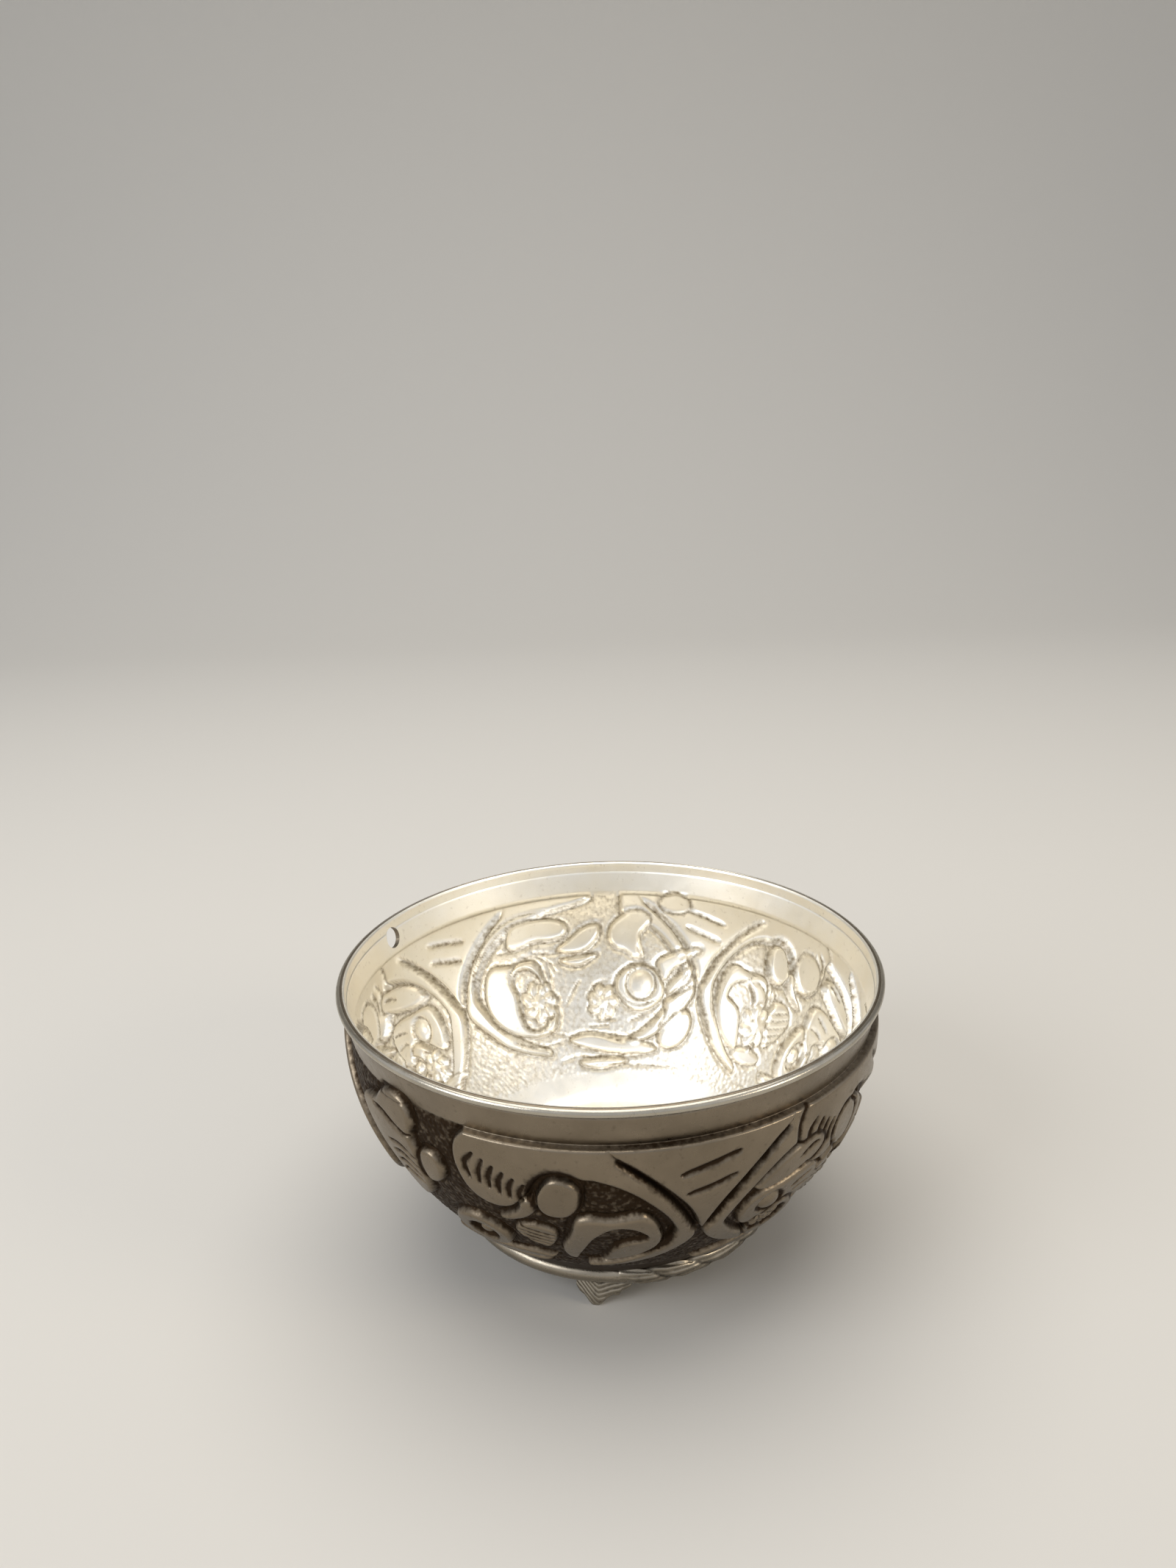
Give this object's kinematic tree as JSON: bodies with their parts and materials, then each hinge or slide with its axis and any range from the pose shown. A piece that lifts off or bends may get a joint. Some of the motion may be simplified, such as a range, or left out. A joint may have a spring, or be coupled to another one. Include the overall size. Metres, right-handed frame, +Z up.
{
  "type": "offering bowl",
  "caption": "Small round-bellied silver bowl with embossed scrolls and leaves, a wired lip, a drilled hang hole, a base ring and low cast leaf feet.",
  "frame": {"origin": "on the table, under the middle of the bowl", "axes": "+Z up along the bowl's axis; -Y towards the front, which is the side turned to the viewer; +X to the viewer's right"},
  "size_m": [0.085, 0.085, 0.046],
  "materials": {
    "chased_silver": "hand-raised silver sheet, burnished on the raised work and darkened in the chased lines and punched ground",
    "polished_silver": "drawn silver wire, rubbed bright by handling",
    "cast_silver": "cast silver, tarnished in the flutes"
  },
  "bodies": {
    "root": {"bowl_shell": "chased_silver", "rim_wire": "polished_silver", "base_ring": "polished_silver", "foot_front": "cast_silver", "foot_back_right": "cast_silver", "foot_back_left": "cast_silver"}
  },
  "joints": []
}
